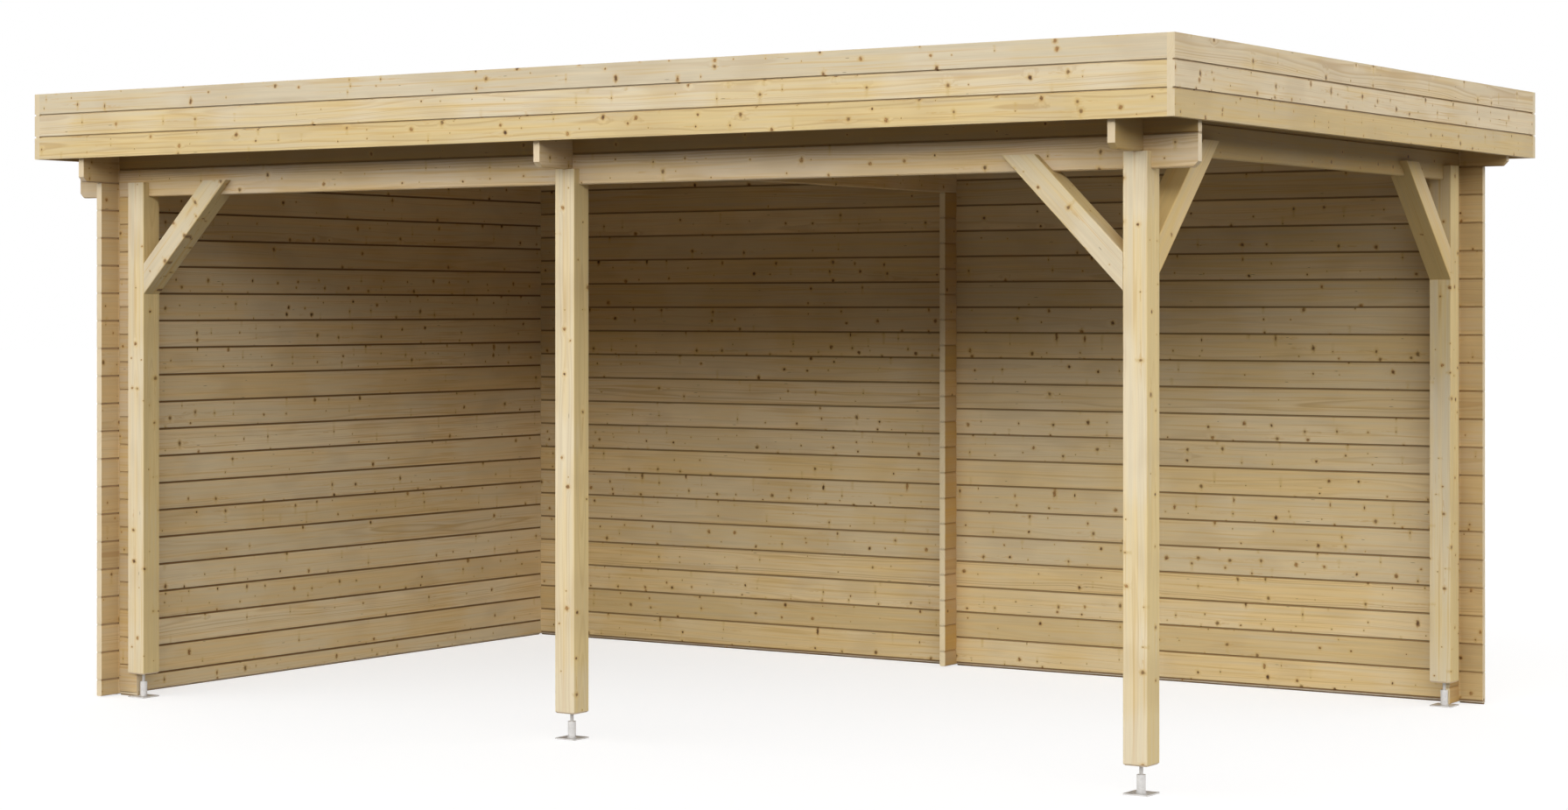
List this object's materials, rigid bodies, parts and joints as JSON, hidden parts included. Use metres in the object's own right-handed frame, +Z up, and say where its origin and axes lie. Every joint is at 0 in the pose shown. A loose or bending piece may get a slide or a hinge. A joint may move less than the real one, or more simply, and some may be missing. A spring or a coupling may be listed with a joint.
{
  "type": "log garden pavilion",
  "caption": "Flat-roofed garden pavilion of interlocking planed logs, closed at the left and the back, open at the front and right on braced posts with steel feet.",
  "frame": {"origin": "on the ground under the middle of the roof", "axes": "+X along the front to the right, +Y from the front to the back wall, +Z up"},
  "size_m": [5.214, 3.314, 2.489],
  "materials": {
    "log_wood": "planed, unfinished spruce logs with bevelled edges",
    "post_wood": "planed square spruce with a small arris",
    "fascia_wood": "planed spruce boards with open shadow joints",
    "roof_wood": "sawn and planed spruce roof boards and purlins",
    "base_strip_wood": "planed softwood strips",
    "galvanised_steel": "zinc plated steel, satin",
    "roofing_felt": "mineral roofing felt, matt"
  },
  "bodies": {
    "root": {"back_base_strips": "base_strip_wood", "left_base_strips": "base_strip_wood", "left_wall_odd_logs": "log_wood", "left_wall_even_logs": "log_wood", "left_wall_top_log": "log_wood", "left_taper_log": "log_wood", "back_wall_odd_logs": "log_wood", "back_wall_even_logs": "log_wood", "back_wall_top_log": "log_wood", "front_left_stub_odd_logs": "log_wood", "front_left_stub_even_logs": "log_wood", "middle_stub_odd_logs": "log_wood", "middle_stub_even_logs": "log_wood", "back_right_stub_odd_logs": "log_wood", "back_right_stub_even_logs": "log_wood", "front_beam_lower_log": "log_wood", "front_beam_upper_log": "log_wood", "front_beam_half_log": "log_wood", "middle_beam_log": "log_wood", "middle_taper_log": "log_wood", "side_beam_log": "log_wood", "side_taper_log": "log_wood", "front_left_post": "post_wood", "middle_post": "post_wood", "corner_post": "post_wood", "back_right_post": "post_wood", "front_left_brace": "post_wood", "corner_front_brace": "post_wood", "corner_side_brace": "post_wood", "back_right_brace": "post_wood", "front_left_foot": "galvanised_steel", "middle_foot": "galvanised_steel", "corner_foot": "galvanised_steel", "back_right_foot": "galvanised_steel", "front_left_stem": "galvanised_steel", "middle_stem": "galvanised_steel", "corner_stem": "galvanised_steel", "back_right_stem": "galvanised_steel", "roof_purlins": "roof_wood", "roof_deck": "roof_wood", "roof_felt": "roofing_felt", "front_fascia": "fascia_wood", "back_fascia": "fascia_wood", "left_fascia": "fascia_wood", "right_fascia": "fascia_wood"}
  },
  "joints": []
}
